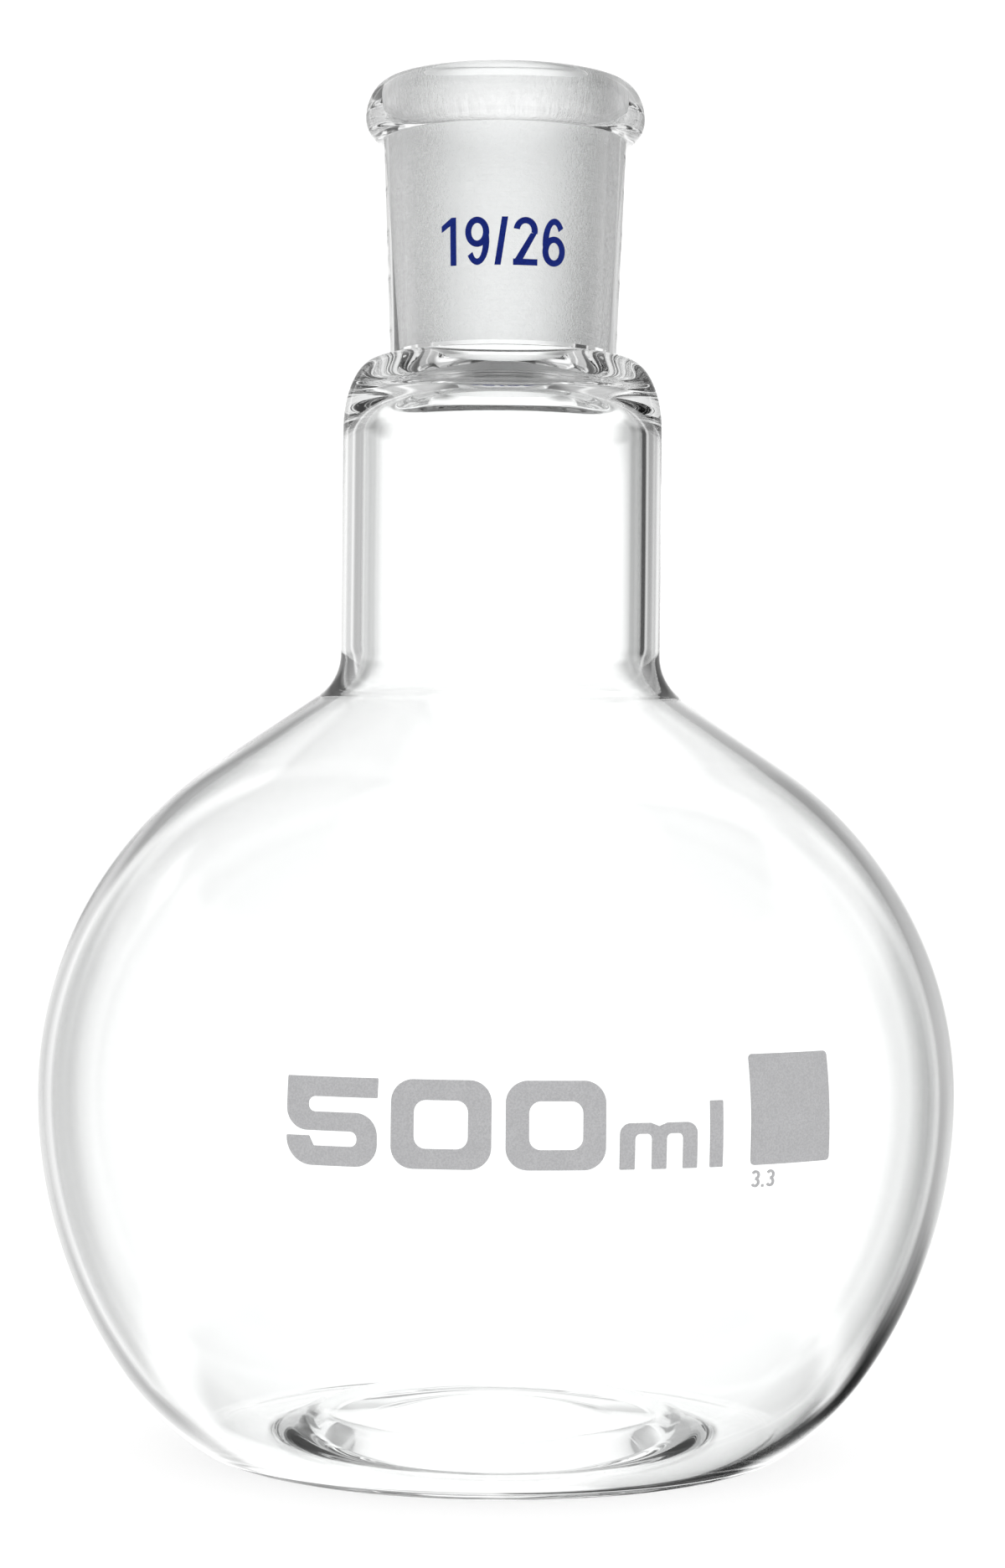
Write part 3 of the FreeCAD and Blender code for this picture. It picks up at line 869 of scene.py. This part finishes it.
@dataclass
class FineFigures:
    """Narrow figures drawn with one stroke width. Angles are in degrees, counted from the right."""

    height: float = 5.35
    width: float = 2.75
    stroke: float = 0.7
    one_width: float = 2.3
    one_stem_left: float = 1.1
    one_flag_drop: float = 1.6
    nine_bowl_height: float = 3.35
    nine_tail_end: float = -142.0
    two_bowl_height: float = 3.0
    two_bowl_start: float = 172.0
    two_bowl_end: float = -14.0
    two_slant_foot: float = 1.3
    two_slant_head: float = 1.15
    slash_width: float = 1.5
    three_bowl_height: float = 2.85
    three_open_angle: float = 150.0
    stop_width: float = 0.7
    step: float = 0.35
    turn_step: float = 9.0

    def fine(self, *corners: Pair) -> Shape:
        """Draws a plain field with straight sides, divided finely."""
        sides = [line_points(a, b, self.step) for a, b in zip(corners, corners[1:] + corners[:1])]
        return Shape(chain(*sides)[:-1])

    def bow(self, middle: float, height: float, start: float, end: float, inset: float) -> Outline:
        """Samples part of an upright ellipse as wide as a figure.

        Args:
            middle: Height of its middle.
            height: Its full height.
            start: First angle.
            end: Last angle.
            inset: How far it is drawn in on all sides.

        Returns:
            The points.
        """
        x = self.width / 2
        count = max(4, math.ceil(abs(end - start) / self.turn_step))
        angles = [math.radians(start + (end - start) * i / count) for i in range(count + 1)]
        across, up = x - inset, height / 2 - inset
        return [(x + across * math.cos(a), middle + up * math.sin(a)) for a in angles]

    def ring(self, middle: float, height: float) -> Shape:
        """Draws a closed bowl."""
        outer, inner = (self.bow(middle, height, 0, 360, inset)[:-1] for inset in (0, self.stroke))
        return Shape(outer, [inner])

    def band(self, middle: float, height: float, start: float, end: float) -> Shape:
        """Draws part of a bowl, one stroke wide."""
        outer = self.bow(middle, height, start, end, 0)
        return Shape(outer + self.bow(middle, height, end, start, self.stroke))

    def one(self) -> Mark:
        """Draws the 1: an upright stem with a flag at its top left."""
        left, low = self.one_stem_left, self.height - self.one_flag_drop
        right = left + self.stroke
        stem = self.fine(
            (left, 0), (right, 0), (right, self.height), (left + self.stroke / 4, self.height),
            (0, low + self.stroke), (0, low), (left, low + self.stroke))
        return Mark([stem], self.one_width)

    def nine(self) -> Mark:
        """Draws the 9: a bowl, and the lower right of a full-height bowl as its tail."""
        half = self.height / 2
        bowl = self.height - self.nine_bowl_height / 2
        rise = math.degrees(math.asin((bowl - half) / half))
        tail = self.band(half, self.height, rise, self.nine_tail_end)
        return Mark([self.ring(bowl, self.nine_bowl_height), tail], self.width)

    def six(self) -> Mark:
        """Draws the 6: the 9 turned by half a turn."""
        def turned(outline: Outline) -> Outline:
            return [(self.width - x, self.height - z) for x, z in outline]
        shapes = [Shape(turned(s.outline), [turned(h) for h in s.holes]) for s in self.nine().shapes]
        return Mark(shapes, self.width)

    def two(self) -> Mark:
        """Draws the 2: the top of a bowl, a slanting stroke and a foot."""
        width, stroke = self.width, self.stroke
        bowl = self.height - self.two_bowl_height / 2
        high = bowl - stroke / 2 + stroke / 8
        top = self.band(bowl, self.two_bowl_height, self.two_bowl_start, self.two_bowl_end)
        slant = self.fine(
            (0, stroke / 2), (stroke * self.two_slant_foot, stroke / 2),
            (width - stroke / 8, high), (width - stroke * self.two_slant_head, high))
        foot = self.fine((0, 0), (width, 0), (width, stroke), (0, stroke))
        return Mark([top, slant, foot], width)

    def three(self) -> Mark:
        """Draws the 3: two open bowls, one on the other."""
        height, angle = self.three_bowl_height, self.three_open_angle
        upper = self.band(self.height - height / 2, height, angle, -90)
        return Mark([upper, self.band(height / 2, height, 90, -angle)], self.width)

    def slash(self) -> Mark:
        """Draws the slanting stroke."""
        width, height = self.slash_width, self.height
        bar = self.fine((0, 0), (self.stroke, 0), (width, height), (width - self.stroke, height))
        return Mark([bar], width)

    def stop(self) -> Mark:
        """Draws the full stop."""
        side = self.stop_width
        return Mark([self.fine((0, 0), (side, 0), (side, side), (0, side))], side)


@dataclass
class EnamelMarks:
    """Everything printed on the glass: capacity, note patch, joint size and a small plain number."""

    glass: GlassBody
    baseline: float = 37.3
    start_arc: float = -21.8
    letter_gap: float = 1.45
    spot_start_arc: float = 27.45
    spot_width: float = 10.5
    spot_height: float = 11.35
    spot_corner: float = 0.45
    joint_start_arc: float = -7.33
    joint_rise: float = 9.0
    joint_gap: float = 0.6
    joint_grid: float = 0.35
    number_start_arc: float = 27.6
    number_baseline: float = 35.0
    number_gap: float = 0.28
    number_grid: float = 0.25

    def on_bulb(self, name: str, baseline: float, start_arc: float, gap: float, marks: list[Mark],
                **settings: float) -> Print:
        """Sets a row of marks on the bulb."""
        glass = self.glass
        return Print(
            name, glass.bulb_face, glass.bulb_radius, baseline, start_arc, gap, marks, **settings)

    def capacity(self) -> Print:
        """Sets 500 ml on the bulb."""
        figures = CapacityFigures()
        marks = [figures.five(), *[figures.zero()] * 2, figures.letter_m(), figures.letter_l()]
        return self.on_bulb("capacity_print", self.baseline, self.start_arc, self.letter_gap, marks)

    def patch(self) -> Print:
        """Sets the patch for pencil notes beside it."""
        block = CapacityFigures().block(0, 0, self.spot_width, self.spot_height, self.spot_corner)
        marks = [Mark([Shape(block)], self.spot_width)]
        return self.on_bulb("note_patch", self.baseline, self.spot_start_arc, 0, marks)

    def joint_size(self) -> Print:
        """Sets 19/26 on the socket."""
        figures, glass = FineFigures(), self.glass
        marks = [figures.one(), figures.nine(), figures.slash(), figures.two(), figures.six()]
        middle = (glass.socket_foot_radius + glass.socket_head_radius) / 2
        return Print(
            "joint_size_print", glass.socket_face, middle, glass.shoulder_top + self.joint_rise,
            self.joint_start_arc, self.joint_gap, marks, grid=self.joint_grid)

    def number(self) -> Print:
        """Sets the small 3.3 under the patch."""
        figures = FineFigures(
            height=1.75, width=1.05, stroke=0.27, three_bowl_height=1.0, stop_width=0.27, step=0.2)
        marks = [figures.three(), figures.stop(), figures.three()]
        return self.on_bulb(
            "small_number_print", self.number_baseline, self.number_start_arc, self.number_gap, marks,
            grid=self.number_grid)


@dataclass(frozen=True)
class DarkStrip:
    """An upright dark strip in the white tent, in degrees, with azimuth from straight behind.

    The depths are pairs of elevation and darkness, from the lowest up, joined smoothly.
    """

    start: float
    end: float
    soft: float
    depths: tuple[Pair, ...]


@dataclass
class Studio:
    """A white light tent with dark strips, which draw the dark lines along the edges of the glass."""

    strips: tuple[DarkStrip, ...] = (
        DarkStrip(15, 38, 4, (
            (-27, 0), (-21, 0.9), (-16, 0.72), (-8, 0.62), (0, 0.58),
            (8, 0.66), (16, 0.75), (26, 0.62), (40, 0.5))),
        DarkStrip(10, 16, 3, ((4, 0), (9, 0.45), (24, 0.45), (34, 0.2))),
        DarkStrip(15, 27, 2, ((-34, 0), (-29, 0.95), (-18, 0.95), (-14, 0.5), (-10, 0))),
        DarkStrip(40, 66, 2.5, ((-34, 0), (-27, 0.96), (10, 0.95), (20, 0.6))),
        DarkStrip(-29, -14, 3, (
            (-34, 0), (-27, 0.6), (-16, 0.55), (-6, 0.5), (0, 0.45),
            (8, 0.45), (14, 0.7), (20, 0.68), (30, 0.5))),
        DarkStrip(-16, -10, 3, ((6, 0), (12, 0.45), (24, 0.35), (34, 0.1))),
        DarkStrip(-66, -33, 4, ((-32, 0), (-26, 0.5), (10, 0.6), (20, 0.5))),
        DarkStrip(1, 44, 1.5, ((-62, 0.1), (-56, 0.97), (-31, 0.97), (-27, 0))),
        DarkStrip(44, 66, 1.5, ((-64, 0.1), (-59, 0.97), (-36, 0.97), (-31, 0))),
        DarkStrip(-14, 1, 1, ((-60, 0.1), (-54, 0.45), (-36, 0.45), (-30, 0))),
        DarkStrip(-66, -36, 2, ((-64, 0.1), (-59, 0.97), (-42, 0.97), (-37, 0))),
        # The last two reach round both sides to behind the camera.
        *(DarkStrip(start, start + 124, 4, (
            (-64, 0.1), (-58, 0.985), (-40, 0.985), (-33, 0.28), (28, 0.28), (37, 0.9), (80, 0.9)))
          for start in (66, -190)),
    )
    tent_glow: float = 1.2
    top_start: float = 62.0
    top_soft: float = 5.0
    top_depth: float = 0.7
    floor_radius: float = 0.7
    floor_drop: float = 0.00005
    floor_sides: int = 96
    floor_glow: float = 0.82
    floor_tone: float = 0.35
    camera_distance: float = 0.4057
    eye_level: float = 0.0761
    camera_right: float = 0.00039
    lean: float = 0.553
    lens: float = 80.77
    light_bounces: int = 32

    def tent_group(self) -> NodeTree:
        """Makes the group that says how bright the tent is in a direction.

        Returns:
            A group with the input Direction and the output Brightness.
        """
        tent = new_group("light_tent", {"Direction": "Vector"}, {"Brightness": "Float"})
        axes = tent.axes(tent.add("NodeGroupInput").outputs["Direction"])
        azimuth = tent.maths("DEGREES", tent.maths("ARCTAN2", axes["X"], axes["Y"]))
        level = tent.distance(axes["X"], axes["Y"])
        elevation = tent.maths("DEGREES", tent.maths("ARCTAN2", axes["Z"], level))
        height = tent.ramp(elevation, -90.0, 90.0, smooth=False)
        light = tent.ramp(elevation, self.top_start - self.top_soft, self.top_start + self.top_soft,
                          1.0, 1.0 - self.top_depth)
        for strip in self.strips:
            rising = tent.ramp(azimuth, strip.start - strip.soft, strip.start + strip.soft)
            falling = tent.ramp(azimuth, strip.end - strip.soft, strip.end + strip.soft, 1.0, 0.0)
            depth = tent.add("ShaderNodeValToRGB", {"Fac": height})
            depth.color_ramp.interpolation = "EASE"
            stops = depth.color_ramp.elements
            while len(stops) < len(strip.depths):
                stops.new(1.0)
            for stop, (degrees, dark) in zip(stops, strip.depths):
                stop.position = (degrees + 90) / 180
                stop.color = (dark, dark, dark, 1.0)
            dark = tent.product(rising, falling, depth.outputs["Color"])
            light = tent.product(light, tent.maths("SUBTRACT", 1.0, dark))
        tent.add("NodeGroupOutput", {"Brightness": light})
        return tent.tree

    def hang_tent(self) -> None:
        """Makes the tent the world's light, plain white to the camera and to matt surfaces."""
        world = bpy.data.worlds.new("light_tent")
        tree = cleared_tree(world)
        direction = tree.add("ShaderNodeTexCoord").outputs["Generated"]
        cloth = tree.out("ShaderNodeGroup", {0: direction}, node_tree=self.tent_group())
        path = tree.add("ShaderNodeLightPath").outputs
        plain = tree.maths("MAXIMUM", path["Is Camera Ray"], path["Is Diffuse Ray"])
        strength = tree.maths("MAXIMUM", plain, tree.product(cloth, self.tent_glow))
        light = tree.out("ShaderNodeBackground", {"Color": WHITE, "Strength": strength})
        tree.add("ShaderNodeOutputWorld", {"Surface": light})
        bpy.context.scene.world = world

    def lay_floor(self) -> None:
        """Lays the plain pale floor, which light that has passed the glass goes on through."""
        material, tree = new_material(Finish.FLOOR)
        tone = (*[self.floor_tone] * 3, 1.0)
        plain = tree.out("ShaderNodeEmission", {"Color": WHITE, "Strength": self.floor_glow})
        matt = tree.out("ShaderNodeBsdfDiffuse", {"Color": tone})
        pale = tree.out("ShaderNodeAddShader", {0: plain, 1: matt})
        clear = tree.out("ShaderNodeBsdfTransparent")
        seen = tree.add("ShaderNodeLightPath").outputs["Is Camera Ray"]
        tree.surface("ShaderNodeMixShader", {0: seen, 1: clear, 2: pale})
        shape = bmesh.new()
        bmesh.ops.create_circle(
            shape, cap_ends=True, segments=self.floor_sides, radius=self.floor_radius,
            matrix=Matrix.Translation((0, 0, -self.floor_drop)))
        mesh = bpy.data.meshes.new("studio_floor")
        shape.to_mesh(mesh)
        shape.free()
        mesh.materials.append(material)
        floor = placed("studio_floor", mesh)

    def set_camera(self) -> None:
        """Sets the camera level, in front of the marks, with the slight lean of the photograph."""
        data = bpy.data.cameras.new("camera")
        data.sensor_width = 36.0
        data.lens = self.lens
        data.clip_start = 0.01
        data.clip_end = 20.0
        camera = placed("camera", data)
        place = Matrix.Translation((self.camera_right, -self.camera_distance, self.eye_level))
        level = Matrix.Rotation(math.radians(90), 4, "X")
        camera.matrix_world = place @ level @ Matrix.Rotation(math.radians(self.lean), 4, "Z")
        bpy.context.scene.camera = camera

    def build(self) -> None:
        """Sets the studio up. Light passes through many glass faces, and white stays white."""
        self.hang_tent()
        self.lay_floor()
        self.set_camera()
        scene = bpy.context.scene
        scene.view_settings.view_transform = "Standard"
        for name in ("max_bounces", "transmission_bounces", "glossy_bounces"):
            setattr(scene.cycles, name, self.light_bounces)


def report(piece: Object) -> None:
    """Logs what a finished piece is made of."""
    mesh = piece.data
    mesh.calc_loop_triangles()
    LOG.info("%s: %d points, %d triangles, finishes %s", piece.name, len(mesh.vertices),
             len(mesh.loop_triangles), [m.name for m in mesh.materials])


def main() -> None:
    """Builds the glass, its marks and the studio."""
    logging.basicConfig(level=logging.INFO, format="%(name)s %(message)s")
    grain = enamel_grain_group()
    glass = GlassBody()
    body = glass.build(BlownGlass().build(glass_flow_group()), GroundGlass().build())
    grey = FiredEnamel(
        Finish.GREY_ENAMEL, tone=(0.50, 0.50, 0.51, 1), speck_tone=(0.36, 0.36, 0.37, 1),
        cloud_tone=(0.56, 0.56, 0.57, 1), speck_share=0.5, cloud_share=0.5).build(grain)
    blue = FiredEnamel(
        Finish.BLUE_ENAMEL, tone=(0.001, 0.012, 0.18, 1), speck_tone=(0.001, 0.006, 0.09, 1),
        cloud_tone=(0.004, 0.026, 0.25, 1), speck_share=0.5, cloud_share=0.6, shine=0.15).build(grain)
    marks = EnamelMarks(glass)
    pieces = [
        (body, "glass", ["flask"]),
        (marks.capacity().build(grey), "enamel", ["capacity_mark"]),
        (marks.patch().build(grey), "enamel", ["marking_spot"]),
        (marks.joint_size().build(blue), "blue_enamel", ["joint_size_mark"]),
        (marks.number().build(grey), "enamel", []),
    ]
    for piece, slot, nodes in pieces:
        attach(piece, BODY)
        if nodes:
            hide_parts(*nodes)
        report(piece)
    Studio().build()


if __name__ == "__main__":
    main()
